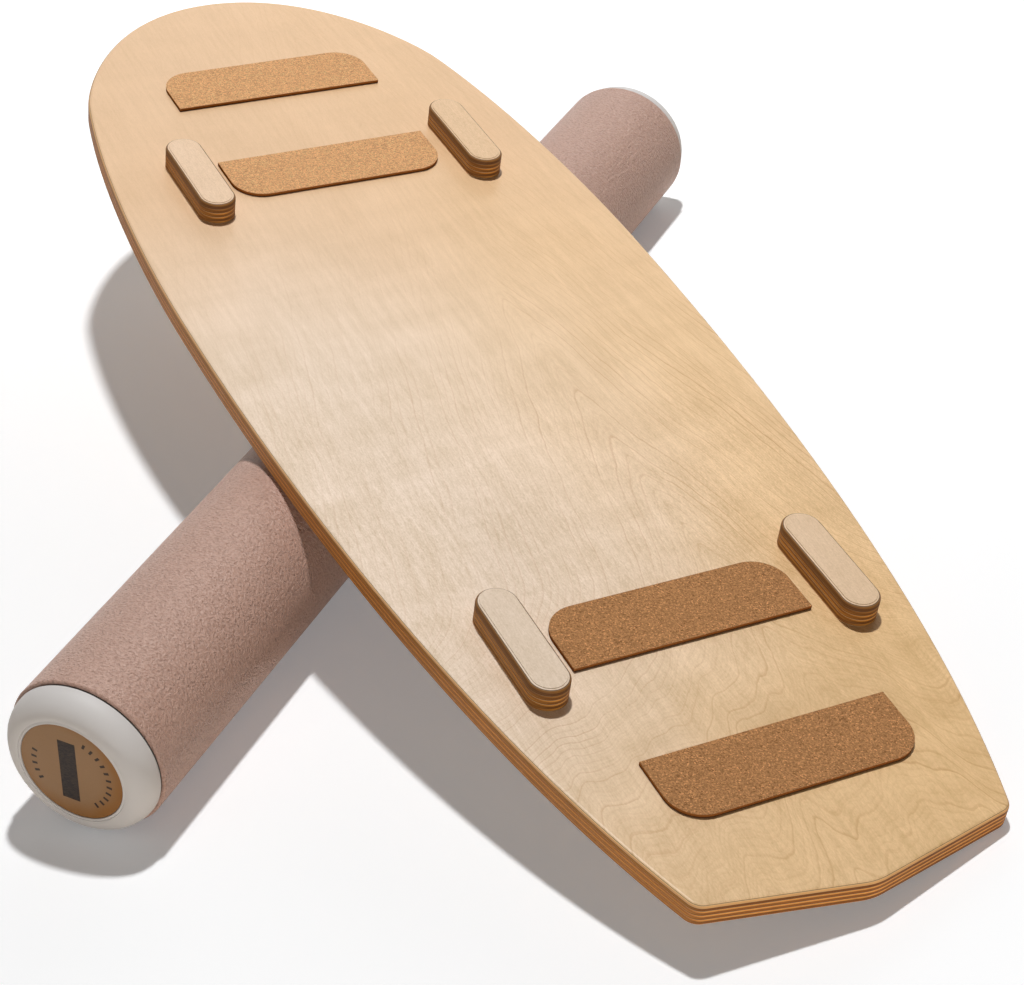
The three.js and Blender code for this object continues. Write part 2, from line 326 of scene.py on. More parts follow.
# A slab from an outline in mm and rings of (inset, height); its two broad faces are flat
def slabMesh(outline, rings):
    points, faces = [], []
    for inset, height in rings:
        points += [Vector((point.x, point.y, height)) * mm for point in drawnIn(outline, inset)]
    count = len(outline)
    for ring in range(len(rings) - 1):
        for here in range(count):
            low, nextLow = ring * count + here, ring * count + (here + 1) % count
            faces.append((low, nextLow, nextLow + count, low + count))
    faces.append(tuple(reversed(range(count))))
    faces.append(tuple(range((len(rings) - 1) * count, len(rings) * count)))
    return meshFrom(points, faces)


# Even shares from 0 to 1
def shares(steps):
    return [step / steps for step in range(steps + 1)]


# Quarter round between a slab's wall and one of its broad faces, the upper or the lower one
def quarterRound(radius, faceHeight, upward, steps):
    rings = []
    for share in shares(steps):
        angle = math.pi / 2 * (share if upward else 1 - share)
        drop = radius * (1 - math.sin(angle))
        rings.append((radius * (1 - math.cos(angle)), faceHeight - drop if upward else faceHeight + drop))
    return rings


# The wall between two heights of a plywood slab, every second ply standing back a little
def plyWall(low, high, whole, relief):
    rings = []
    inner = (whole - 2 * plyLook["face"]) / plyLook["inner"]
    clear, slope = plyLook["clear"], plyLook["slope"] / 2
    for ply in range(plyLook["inner"] + 1):
        bound = plyLook["face"] + ply * inner
        if low + clear < bound < high - clear:
            back = relief if ply % 2 else 0.0
            rings += [(relief - back, bound - slope), (back, bound + slope)]
    return rings


def bezier(start, startHandle, endHandle, end, steps):
    return [start * (1 - t) ** 3 + startHandle * 3 * t * (1 - t) ** 2
            + endHandle * 3 * t ** 2 * (1 - t) + end * t ** 3 for t in shares(steps)]


def heading(degrees):
    return Vector((math.cos(math.radians(degrees)), math.sin(math.radians(degrees))))


def roundedCorner(corner, directionIn, directionOut, radius, steps):
    turn = directionIn.angle(directionOut)
    side = math.copysign(1, directionIn.x * directionOut.y - directionIn.y * directionOut.x)
    start = corner - directionIn * radius * math.tan(turn / 2)
    centre = start + Vector((-directionIn.y, directionIn.x)) * side * radius
    return [centre + Matrix.Rotation(side * turn * share, 2) @ (start - centre) for share in shares(steps)]


# A closed skin turned round +Z from (radius, height) points in mm
def turnedMesh(profile, steps):
    points, faces, rows = [], [], []
    for radius, height in profile:
        if radius == 0:
            rows.append([len(points)] * steps)
            points.append(Vector((0, 0, height)) * mm)
            continue
        rows.append(list(range(len(points), len(points) + steps)))
        for step in range(steps):
            angle = 2 * math.pi * step / steps
            points.append(Vector((radius * math.cos(angle), radius * math.sin(angle), height)) * mm)
    for lower, upper in zip(rows, rows[1:]):
        for here in range(steps):
            after = (here + 1) % steps
            corners = [lower[here], lower[after], upper[after], upper[here]]
            faces.append(tuple(dict.fromkeys(corners)))
    return meshFrom(points, [face for face in faces if len(face) > 2])


def arcPoints(centreRadius, centreHeight, radius, height, startDegrees, endDegrees, steps):
    angles = [math.radians(startDegrees + (endDegrees - startDegrees) * share) for share in shares(steps)]
    return [(centreRadius + radius * math.cos(angle), centreHeight + height * math.sin(angle))
            for angle in angles]


# where the board and the roller lie

mounts = {mount["name"]: mount for mount in frame["record"]["mounts"]}

lay = {
    "noseStops": 289,       # from the deck's tip to the middle between the nose stops, mm
    "stopTop": 36.3,        # from the deck's lower face to the stops' tops, mm
}


def mountPoint(name):
    return Vector(mounts[name]["pos_m"])


# The deck's own frame: x from its tip to its tail, y across, z out of its upper face
def boardFrame(spec):
    noseLeft, noseRight, tailLeft, tailRight = (
        mountPoint(f"stop_{place}_face") for place in ("nose_left", "nose_right", "tail_left", "tail_right"))
    nose, tail = (noseLeft + noseRight) / 2, (tailLeft + tailRight) / 2
    along = (tail - nose).normalized()
    across = (noseRight - noseLeft).normalized()
    outward = along.cross(across).normalized()
    origin = nose - along * spec["noseStops"] * mm - outward * spec["stopTop"] * mm
    turn = Matrix((along, across, outward)).transposed()
    return Matrix.Translation(origin) @ turn.to_4x4()


board = boardFrame(lay)
boardTurn, boardUp = board.to_3x3().to_4x4(), board.col[2].xyz
sleeveLow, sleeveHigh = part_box("roller_cover")
rollerCentre = (sleeveLow + sleeveHigh) / 2


# Local Z becomes +Y at the far end, where way is 1, and -Y at the near end, where it is -1
def endTurn(way):
    return Matrix.Rotation(-way * math.pi / 2, 4, "X")


print("board placed")

# Wood: a birch veneer on each broad face, and plies that alternate along and across between them

veneerLook = {
    # The left tone is partly the veneer's own paler tone and partly a painted sheen
    "left": tone(236, 216, 194),
    "right": tone(236, 201, 154),
    "nose": tone(228, 191, 150),
    "tail": tone(230, 193, 140),
    "line": tone(184, 132, 74),
    "figure": 0.62,          # how strongly the growth lines show
    "bands": 0.30,           # and the paler and darker bands between them
    "fibre": 0.34,
    "apexSide": 0.052,       # where the figure's points lie across the board, m
    "alongSpacing": 0.024,   # between growth lines at the points, m
    "acrossSpacing": 0.0056, # between growth lines beside them, m
    "crowding": 30.0,        # how fast they close up toward the tail
    "tailStart": 0.80,       # past here, m, the lines crowd and run zigzag across the board
    "zigzagOver": 0.2,
    "seed": 3.7,
}

# Where the tone and the grain change, from and to, in m along or across the board
veneerZones = {
    "right": (-0.12, 0.17),
    "nose": (0.60, 0.26),
    "tail": (0.74, 1.12),
    "strongFigure": (0.34, 0.72),
    "livelyGrain": (0.28, 0.66),
    "roughGrain": (0.52, 0.74),
}

# Noises of the wood: scales along, across and down the board, detail, roughness, step of the seed
woodNoise = {
    "drift": ((3.1, 6, 1), 2, 0.5, 0),
    "broad": ((4.2, 11, 0), 2, 0.5, 2),
    "wave": ((22, 46, 0), 2, 0.5, 3),
    "ragged": ((70, 190, 0), 2, 0.6, 4),
    "zig": ((5, 34, 0), 1, 0.4, 5),
    "patch": ((9, 16, 0), 2, 0.5, 6),
    "fibre": ((160, 1000, 1000), 2, 0.7, 8),
    "silk": ((16, 260, 100), 3, 0.65, 9),
    "flame": ((42, 12, 1), 3, 0.55, 10),
    "cloud": ((12, 17, 1), 3, 0.6, 11),
    "speck": ((800, 800, 1600), 2, 0.6, 12),
    "streak": ((34, 34, 2400), 3, 0.65, 13),
    "pore": ((210, 2100, 0), 1, 0.5, 14),
    "grit": ((620, 900, 900), 2, 0.7, 15),
}

plyLook = {
    "face": 0.6,             # thickness of each face veneer, mm
    "inner": 9,              # plies between them
    "slope": 0.1,            # height of the little slope from one ply to the next, mm
    "clear": 0.15,           # no step this near to a rounded edge, mm
    "along": tone(234, 162, 80),     # where a ply's fibres run along the edge
    "across": tone(164, 100, 44),    # where they end in it
    # The third tone on the next line is painted shade, for the rounded upper edge and the routed step; the
    # glue and thin lines are the plies' own
    "glue": tone(78, 42, 14), "thin": tone(250, 218, 166), "paintedShade": tone(104, 66, 30),
    "paintedShadeStrength": 0.0,          # how strongly painted shade darkens the rounded upper edge and the wall under it
    "paintedShadeBand": (10.0, 3.0),    # the painted shade lies between these depths under the top, mm
    "palest": 0.38,          # how pale the uppermost inner ply is
    "seed": 11.0,
}


# ground is the tone of a block's face; without it the face is the whole deck's
def plywoodFinish(name, matrix, veneer, plies, height, ground=None, stepLow=None):
    web = Finish(name)
    place = web.place(matrix)
    x, y, z = web.split(place)
    seed, zones = veneer["seed"], veneerZones

    def wood(kind):
        scales, detail, roughness, further = woodNoise[kind]
        return web.noise(web.stretched(place, scales), 1.0, detail, roughness, seed + further)

    # Broad tone: paler and cooler on the left, which is partly the veneer's own tone and partly a painted
    # sheen, golden on the right and toward the tail
    drift = wood("drift") - 0.5
    side = web.step(y + drift * 0.14, *zones["right"])
    base = web.blend(side, veneer["left"], veneer["right"])
    if ground is None:
        nose = web.step(x + drift * 0.2, *zones["nose"])
        base = web.blend(nose * 0.9, base, veneer["nose"])
        tail = web.step(x + y * 0.55 + drift * 0.2, *zones["tail"])
        base = web.blend(tail * 0.85, base, veneer["tail"])
    else:
        base = web.blend(0.8, base, ground)

    # Growth lines: nested points along the board, as a flat sawn veneer has
    tailStart = veneer["tailStart"]
    zigzag = web.step(x, tailStart, tailStart + veneer["zigzagOver"])
    broad, wave, ragged, zig = (wood(kind) - 0.5 for kind in ("broad", "wave", "ragged", "zig"))
    fromPoint = y - veneer["apexSide"]
    ridge = (fromPoint * fromPoint + 0.00001) ** 0.5 / veneer["acrossSpacing"]      # its tip is blunt
    past = web.most(x - tailStart, 0.0)
    run = x / veneer["alongSpacing"] + past * past * veneer["crowding"]
    phase = run - ridge * (1.0 - zigzag * 0.7)
    phase = phase + broad * 6.0 + wave * 0.9 + ragged * 0.3 + zig * zigzag * 7.0
    saw = web.maths("FRACT", phase)
    line = web.step(saw, 0.74, 0.95) * web.step(saw, 1.0, 0.95) + saw * 0.12
    fineSaw = web.maths("FRACT", phase * 2.6 + wave * 1.5)
    fine = web.step(fineSaw, 0.5, 0.9) * web.step(fineSaw, 1.0, 0.9)
    chance = web.chance(web.maths("FLOOR", phase) + seed)
    patch = web.step(wood("patch"), 0.32, 0.60)
    strength = web.step(x + drift * 0.3, *zones["strongFigure"]) * 0.8 + 0.2
    strength = strength * web.most(0.35 + side * 0.65, zigzag * 0.75)
    figure = line * (0.15 + chance * 0.85) + fine * (0.6 - patch * 0.45)
    figure = figure * strength * (0.3 + patch * 0.7)

    # Fibres, and the soft cross flame of birch
    fibre, grit, silk = (wood(kind) - 0.5 for kind in ("fibre", "grit", "silk"))
    flame, cloud = wood("flame") - 0.5, wood("cloud") - 0.5
    pore = web.step(wood("pore"), 0.68, 0.76)
    lively = web.step(x + drift * 0.2, *zones["livelyGrain"]) * 0.9 + 0.8
    if ground is None:
        rough = web.step(x - y * 0.2 + drift * 0.2, *zones["roughGrain"]) * 1.05 + 0.42
        rough = rough * (1.0 - zigzag * 0.4)
    else:
        rough = 1.1
    grain = (silk * 0.24 + flame * 0.16 + cloud * 0.16) * lively - pore * 0.10 * rough
    grain = grain + (fibre * veneer["fibre"] + grit * 0.36) * rough
    bands = web.noise(web.vector(phase * 0.8, x * 1.5, y * 1.5), 1.0, 3.0, 0.6, seed + 16) - 0.5
    grain = grain + bands * veneer["bands"] * strength
    # What is darker is more golden too
    warmth = web.vector(grain * 0.85 + 1.0, grain + 1.0, grain * 1.4 + 1.0)
    face = web.blend(1.0, base, warmth, "MULTIPLY")
    face = web.blend(figure * veneer["figure"], face, veneer["line"])

    # Plies on the edges: every second one shows its end grain
    inner = (height - 2 * plies["face"]) / plies["inner"] * mm
    level = (z - plies["face"] * mm) / inner
    index, within = web.maths("FLOOR", level), web.maths("FRACT", level)
    odd = web.maths("PINGPONG", index, 1.0)
    facing = web.node("ShaderNodeTexCoord", None, None, "Normal")
    alongNormal = abs(web.dot(facing, matrix.col[0].xyz))
    acrossNormal = abs(web.dot(facing, matrix.col[1].xyz))
    endGrain = alongNormal * odd + acrossNormal * (1.0 - odd)
    plyChance = web.chance(index + plies["seed"])
    speck, streak = wood("speck") - 0.5, wood("streak") - 0.5
    edgeTone = 0.62 + plyChance * 0.62 + speck * 0.35 * endGrain + streak * 0.6 + cloud * 0.4
    edge = web.shaded(web.blend(endGrain, plies["along"], plies["across"]), edgeTone)
    thinLine = web.step(within, 0.70, 0.84) * web.step(plyChance, 0.45, 0.8)
    edge = web.blend(thinLine * 0.6, edge, plies["thin"])
    fromTop = height * mm - z
    deep = fromTop if ground else web.least(z, fromTop)      # a block's lower face is glued down
    outermost = web.step(deep, (plies["face"] + 0.6) * mm, (plies["face"] + 0.3) * mm)
    seam = web.step(abs(within - 0.5), 0.34, 0.47)
    # Painted shade: a darker band on the rounded upper edge and the wall under it
    paintedShade = web.step(fromTop, *(depth * mm for depth in plies["paintedShadeBand"]))
    uppermost = web.step(index, plies["inner"] - 1.6, plies["inner"] - 1.4)
    edge = web.blend(uppermost * plies["palest"], edge, plies["thin"])
    edge = web.blend(paintedShade * plies["paintedShadeStrength"], edge, plies["paintedShade"])
    edge = web.blend(seam * web.most(0.55 + plyChance * 0.4, outermost * 0.95), edge, plies["glue"])
    onEdge = web.step(deep, (plies["face"] - 0.08) * mm, (plies["face"] + 0.06) * mm)
    colour = web.blend(onEdge, face, edge)
    if stepLow is not None:                # the little routed step gets painted shade too, as its small recess is shaded
        rise = web.step(z, (stepLow + 0.03) * mm, (stepLow + 0.08) * mm)
        under = web.step(fromTop, 0.05 * mm, 0.10 * mm)
        colour = web.blend(rise * under * 0.7, colour, plies["paintedShade"])
    relief = fibre * 0.5 + silk * 0.3 - pore * 0.6 - figure * 0.1
    relief = relief - onEdge * seam * 1.6 + onEdge * (speck + streak)
    gloss = 0.40 + onEdge * 0.22 + fibre * 0.16 + flame * 0.12
    return web.close(colour=colour, roughness=gloss, normal=web.bump(relief, 0.0001, 0.5),
                     coat=0.06, coatRoughness=0.25, specular=0.25)


# deck

deck = {
    "length": 1118, "thickness": 18,
    "edgeRound": 3, "roundSteps": 8,
    "land": 0.5,             # flat rim that the broad faces keep inside the rounding, mm
    "shoulder": (142, 162), "shoulderAngle": 14.3,
    "widest": (457, 196),
    "tailCorner": (1096, 115.4), "tailTaper": 19.4,
    "cornerRound": 12, "cornerSteps": 14,
    "pointRound": 45, "pointSteps": 12,
    # How far each curve's two handles reach, as shares of its width or length
    "noseShares": (0.64, 0.19), "flankShares": (0.29, 0.32), "sideShares": (0.18, 0.35),
    "plyRelief": 0.07,
    "curveSteps": 56,
}


# Half the outline from tip to tail point, then its mirror image, in mm, anticlockwise
def deckOutline(spec):
    tip, tailPoint = Vector((0, 0)), Vector((spec["length"], 0))
    shoulder, widest, corner = (Vector(spec[name]) for name in ("shoulder", "widest", "tailCorner"))
    shoulderWay, sideWay = heading(spec["shoulderAngle"]), heading(-spec["tailTaper"])
    tailWay = (tailPoint - corner).normalized()
    mirrored = Vector((-tailWay.x, tailWay.y))
    cornerArc = roundedCorner(corner, sideWay, tailWay, spec["cornerRound"], spec["cornerSteps"])
    pointArc = roundedCorner(tailPoint, tailWay, mirrored, spec["pointRound"], spec["pointSteps"])
    halfPoint = pointArc[:spec["pointSteps"] // 2 + 1]
    flank, side = widest.x - shoulder.x, corner.x - widest.x
    steps = spec["curveSteps"]
    nose = bezier(tip, Vector((0, spec["noseShares"][0] * shoulder.y)),
                  shoulder - shoulderWay * spec["noseShares"][1] * shoulder.x, shoulder, steps)
    fore = bezier(shoulder, shoulder + shoulderWay * spec["flankShares"][0] * flank,
                  widest - Vector((spec["flankShares"][1] * flank, 0)), widest, steps)
    aft = bezier(widest, widest + Vector((spec["sideShares"][0] * side, 0)),
                 cornerArc[0] - sideWay * spec["sideShares"][1] * side, cornerArc[0], steps)
    half = nose + fore[1:] + aft[1:] + cornerArc[1:] + halfPoint
    mirror = [Vector((point.x, -point.y)) for point in reversed(half[1:-1])]
    return list(reversed(half + mirror))


def makeDeck(spec):
    edge, steps, top = spec["edgeRound"], spec["roundSteps"], spec["thickness"]
    rim = edge + spec["land"]
    rings = [(rim, 0), *quarterRound(edge, 0, False, steps),
             *plyWall(edge, top - edge, top, spec["plyRelief"]),
             *quarterRound(edge, top, True, steps), (rim, top)]
    material = plywoodFinish("birchDeck", board, veneerLook, plyLook, top)
    finishPiece("deck_board", slabMesh(deckOutline(spec), rings), board, "board", "deck", material)


makeDeck(deck)
print("deck made")

# stop blocks

stops = {
    "length": 103, "width": 30, "height": 18, "endSteps": 40,
    "edgeRound": 2.3, "roundSteps": 10,
    "edgeStep": 0.45,        # the router's little step between the rounding and the top, mm
    "crest": ((0.05, 0.1), (0.15, 0), (0.7, 0)),     # last rings: mm in from the step, mm under the top
    "plyRelief": 0.07,
    "tones": {"nose_left": (229, 198, 166), "nose_right": (222, 186, 144),
              "tail_left": (224, 206, 186), "tail_right": (226, 196, 162)},
    "veneer": {**veneerLook, "apexSide": 0.004, "tailStart": 9.0},
    "seeds": (5.0, 3.3),     # the first block's, and the step to the next
    "plies": {**plyLook, "along": tone(202, 136, 54), "across": tone(132, 82, 30), "glue": tone(58, 32, 12),
              "paintedShadeStrength": 0.75, "palest": 0.0},
}


def stopMesh(spec):
    radius, steps, top = spec["width"] / 2, spec["endSteps"], spec["height"]
    reach = spec["length"] / 2 - radius
    outline = []
    for end in (1, -1):
        for share in shares(steps):
            outline.append(heading(180 * share - 90 * end) * radius + Vector((end * reach, 0)))
    shelf = top - spec["edgeStep"]
    edge = quarterRound(spec["edgeRound"], shelf, True, spec["roundSteps"])
    inset = edge[-1][0] + spec["edgeStep"]
    rings = [(0, 0), *plyWall(0, edge[0][1], top, spec["plyRelief"]), *edge, (inset, shelf),
             *((inset + further, top - under) for further, under in spec["crest"])]
    return slabMesh(outline, rings)


def makeStops(spec):
    firstSeed, seedStep = spec["seeds"]
    for number, (place, colour) in enumerate(spec["tones"].items()):
        face = mountPoint(f"stop_{place}_face")
        seat = Matrix.Translation(face - boardUp * spec["height"] * mm) @ boardTurn
        look = {**spec["veneer"], "seed": firstSeed + seedStep * number}
        material = plywoodFinish(f"birchStop_{place}", seat, look, spec["plies"], spec["height"],
                                 tone(*colour), spec["height"] - spec["edgeStep"])
        finishPiece(f"stop_{place}_block", stopMesh(spec), seat, "board",
                    f"stop_{place}", material)


makeStops(stops)
print("stop blocks made")

# cork pads

pads = {
    "width": 183.0, "depth": 55.0, "thickness": 3.0, "corner": 25.0,
    "granule": 820.0,        # granules to the metre
    "relief": 0.09,          # mm that the granules stand out
    "reliefFade": (0.0004, 0.0016),      # they fade out toward the rim, m
    "rows": 60, "columns": 190, "crowding": 1.5,     # rows crowd toward the rounded end
    "noseTone": (220, 168, 120), "tailTone": (181, 132, 87),
    "noseContrast": 1.0, "tailContrast": 2.4,
    # Factor, lift and ceiling of the dark, the pale and the brightest granules' tone
    "granuleTones": ((0.80, 0, 255), (1.16, 0, 252), (1.34, 8, 250)),
    "darkFleck": tone(104, 64, 38),
    # The tone at the foot of the cut edge is painted contact shade where the pad meets the board
    "paintedFootShade": tone(80, 46, 18), "cutTone": tone(146, 90, 42),
    "cutFrom": (0.0029, 0.0024), "footTo": (0.0003, 0.0016),     # heights on the cut edge, m
    "crumb": (1500, 3, 0.7, 1.3), "chip": (620, 2, 0.6, 1.9), "broad": (26, 2, 0.5, 2.1),
}


def corkFinish(name, matrix, colour, contrast):
    web = Finish(name)
    place = web.place(matrix)
    _, _, z = web.split(place)
    dark, pale, bright = (tone(*(min(ceiling, value * factor + lift) for value in colour))
                          for factor, lift, ceiling in pads["granuleTones"])
    grains = {"Vector": place, "Scale": pads["granule"] * 1.35, "Randomness": 1.0}
    cell, fleck, _ = web.split(web.node("ShaderNodeTexVoronoi", None, grains, "Color"))
    gap = web.node("ShaderNodeTexVoronoi", {"feature": "DISTANCE_TO_EDGE"}, grains, "Distance")
    crumb, chip, broad = (web.noise(place, *pads[kind]) - 0.5 for kind in ("crumb", "chip", "broad"))
    mixed = web.blend(0.35, web.blend(cell, dark, pale), tone(*colour))
    flecks = 0.17 + contrast * 0.15
    mixed = web.blend(web.step(fleck, 0.88, 0.94) * flecks, mixed, bright)
    mixed = web.blend(web.step(fleck, 0.10, 0.05) * flecks, mixed, pads["darkFleck"])
    seams = web.step(gap, 0.10, 0.02)
    mixed = web.shaded(mixed, 1.0 - seams * 0.10 + crumb * 0.55 * contrast + chip * 0.34 + broad * 0.10)
    # The cut edge is darker, and darkest where it meets the board: that darkest band is painted contact shade
    cut = web.blend(web.step(z, *pads["footTo"]), pads["paintedFootShade"], pads["cutTone"])
    mixed = web.blend(web.step(z, *pads["cutFrom"]), mixed, web.shaded(cut, 1.0 + crumb * 0.6))
    relief = web.bump(cell * 0.5 - seams * 0.6 + crumb * 0.9, 0.00025, 0.2 + contrast * 0.18)
    return web.close(colour=mixed, roughness=0.88, specular=0.1, normal=relief)


# The sheet of cork: a grid bent to the pad's outline, given thickness, granules on top
def padBuilder(spec, material):
    web = Builder("corkSheet", {
        **inputsFrom(spec, mm, "width", "depth", "thickness", "corner", "relief"),
        **inputsFrom(spec, 1, "granule", "rows", "columns", "crowding"), "Seed": 4.0, "Finish": material})
    rows, columns, depth, corner, width = web.given("Rows", "Columns", "Depth", "Corner", "Width")
    sheet = web.node("GeometryNodeMeshGrid", None, {
        "Size X": 1.0, "Size Y": 2.0, "Vertices X": rows, "Vertices Y": columns}, "Mesh")
    u, v, _ = web.split(web.node("GeometryNodeInputPosition"))
    half = width / 2.0
    along = depth * (1.0 - (0.5 - u) ** web.given("Crowding"))
    past = web.most(along - depth + corner, 0.0)
    reach = web.most(corner * corner - past * past, 0.0) ** 0.5
    flat = web.moved(sheet, along, v * (half - corner + reach), 0.0)
    raised = web.node("GeometryNodeExtrudeMesh", {"mode": "FACES"},
                      {"Mesh": flat, "Offset": web.vector(0.0, 0.0, 1.0),
                       "Offset Scale": web.given("Thickness"), "Individual": False})
    place = web.node("GeometryNodeInputPosition")
    bulge = web.noise(place, web.given("Granule"), 2.0, 0.6, web.given("Seed")) - 0.6
    px, py, _ = web.split(place)
    inside = web.least(px, depth - px)
    inner = web.step(web.least(inside, half - abs(py)), *spec["reliefFade"])
    bumpy = web.node("GeometryNodeSetPosition", None,
                     {"Geometry": raised, "Selection": raised.beside("Top"),
                      "Offset": web.vector(0.0, 0.0, bulge * inner * web.given("Relief"))})
    both = web.together(bumpy, web.node("GeometryNodeFlipFaces", None, [flat]))
    web.close(web.node("GeometryNodeMergeByDistance", None, {"Geometry": both, "Distance": mergeWithin / 2}))
    return web


def makePads(spec):
    for pair in ("nose", "tail"):
        for side in ("fore", "aft"):
            node = f"pad_{pair}_{side}"
            face = mountPoint(f"{node}_face")
            middle = face - boardUp * spec["thickness"] * mm
            way = boardTurn @ Matrix.Rotation(math.pi if side == "fore" else 0, 4, "Z")
            start = middle - way.col[0].xyz * spec["depth"] / 2 * mm
            seat = Matrix.Translation(start) @ way
            material = corkFinish(f"cork_{pair}_{side}", seat, spec[f"{pair}Tone"], spec[f"{pair}Contrast"])
            finishPiece(f"{node}_sheet", padBuilder(spec, material).grow(), seat, "board", node)


makePads(pads)
print("cork pads made")

# roller sleeve

sleeve = {
    "radius": (sleeveHigh.x - sleeveLow.x) / 2, "length": sleeveHigh.y - sleeveLow.y,
    "bore": 0.0553, "edgeRound": 0.0016,
    "around": 200, "along": 460,
    "boreAlong": 24,         # rows of the grid inside
    "edgeShare": 0.06,       # of the rows, spent on the rolled ends
    "relief": 0.00014, "pebble": 230.0,
    # deep and pale are painted shade and painted highlight, for the hollows and the crests of the grain
    "colour": tone(193, 156, 140), "deep": tone(132, 93, 75), "pale": tone(237, 207, 193),
    "roughness": 0.42, "shine": 0.42, "bumpDepth": 0.0009,
    "drawn": (0.74, 1.1, 0.74),      # the grain runs round the roller
    "pebbles": {"Scale": 640.0, "Smoothness": 0.5, "Randomness": 1.0},
    "wrinkle": (540, 2, 0.55, 2), "pit": (600, 1, 0.5, 6),
    "nap": (1400, 2, 0.6, 3), "cloud": (9, 3, 0.55, 4),
}


def suedeFinish(spec):
    web = Finish("suedeSleeve")
    place = web.place(Matrix.Translation(rollerCentre))
    drawn = web.stretched(place, spec["drawn"])
    pebble = web.node("ShaderNodeTexVoronoi", {"feature": "SMOOTH_F1"},
                      {"Vector": drawn, **spec["pebbles"]}, "Distance")
    wrinkle = web.noise(drawn, *spec["wrinkle"]) - 0.5
    pit = web.step(web.noise(drawn, *spec["pit"]), 0.54, 0.66)
    nap = web.noise(place, *spec["nap"]) - 0.5
    cloud = web.noise(place, *spec["cloud"]) - 0.5
    # Painted shade and highlight: the wrinkles' hollows are darker and their crests paler, and the pebbles'
    # grooves and the pits are darkened, following the bump
    colour = web.blend(web.step(wrinkle + nap * 0.5, -0.24, 0.24), spec["deep"], spec["pale"])
    colour = web.blend(0.80, colour, spec["colour"])
    colour = web.shaded(colour, 1.02 + nap * 0.20 + cloud * 0.08 - pebble * 0.08 - pit * 0.06)
    relief = pebble * -0.6 + wrinkle * 1.3 - pit * 0.45 + nap * 0.25
    return web.close(colour=colour, roughness=spec["roughness"], specular=spec["shine"],
                     normal=web.bump(relief, spec["bumpDepth"], 1.0))


# The sleeve: one grid wrapped round the tube and over its rolled ends, and one for its bore
def sleeveBuilder(spec, material):
    web = Builder("sleeveWrap", {
        **inputsFrom(spec, 1, "radius", "bore", "length", "edgeRound", "along", "boreAlong",
                     "edgeShare", "relief", "pebble"),
        "Around": spec["around"] + 1, "Seed": 8.0, "Finish": material})
    skin, lining = (web.node("GeometryNodeMeshGrid", None, {
        "Size X": 2 * math.pi, "Size Y": 2.0, "Vertices X": web.given("Around"),
        "Vertices Y": web.given(rows)}, "Mesh") for rows in ("Along", "Bore Along"))
    edge, share, full, bore, length = web.given("Edge Round", "Edge Share", "Radius", "Bore", "Length")
    angle, run, _ = web.split(web.node("GeometryNodeInputPosition"))
    straight = length / 2.0 - edge
    endwise = web.most(abs(run) - 1.0 + share, 0.0) / share
    turnLength = edge * (math.pi / 2)
    past = endwise * (turnLength + full - edge - bore)
    turn = web.least(past / edge, math.pi / 2)
    inward = web.most(past - turnLength, 0.0)
    cosine, sine = web.maths("COSINE", turn), web.maths("SINE", turn)
    along = web.maths("SIGN", run) * (web.least(abs(run) / (1.0 - share), 1.0) * straight + edge * sine)
    around, upright = web.maths("COSINE", angle), web.maths("SINE", angle)
    plain = full - edge + edge * cosine - inward
    grain = web.noise(web.vector(around * full, upright * full, along),
                      web.given("Pebble"), 3.0, 0.6, web.given("Seed")) - 0.62
    radius = plain + grain * web.given("Relief") * web.step(endwise, 0.25, 0.0)
    outside = web.moved(skin, around * radius, upright * radius, along)
    within = web.moved(lining, around * bore, upright * bore, run * length / 2.0)
    both = web.together(outside, within)
    web.close(web.node("GeometryNodeMergeByDistance", None,
                       {"Geometry": both, "Distance": mergeWithin * 1.5}))
    return web


def makeSleeve(spec):
    grown = sleeveBuilder(spec, suedeFinish(spec)).grow()
    place = Matrix.Translation(rollerCentre) @ endTurn(1)
    finishPiece("roller_sleeve", grown, place, "roller", "roller_cover")


makeSleeve(sleeve)
print("sleeve made")

# end caps

caps = {
    "crownHeight": 17, "crownWidth": 15.2, "baseLand": 1.5, "rimRadius": 55.7,
    "lipWidth": 2.2, "lipGroove": 0.6, "wall": 3,
    "spigotLength": 28, "spigotRadius": 50.6, "spigotWall": 2.6, "leadIn": 1.5,
    "recessFloor": 16.4, "edgeBreak": 0.25, "recessBreak": 0.3,
    "steps": 144, "crownSteps": 22, "innerSteps": 6,
    "ribs": 12, "ribWidth": 2.4, "ribLength": 20, "ribReach": 51.5, "ribLead": 1.5,
    "webs": 8, "webThickness": 2, "hubRadius": 12, "webDepth": 17,
    "sunk": 0.5,             # how far ribs and webs run into the shell, mm
    "colour": tone(214, 212, 211), "scuffed": tone(196, 190, 184),
    "fine": (1300, 2, 0.5, 1), "cloud": (30, 3, 0.5, 2), "scuff": (120, 4, 0.7, 3),
    "scuffDrawn": (1, 1, 6),
}


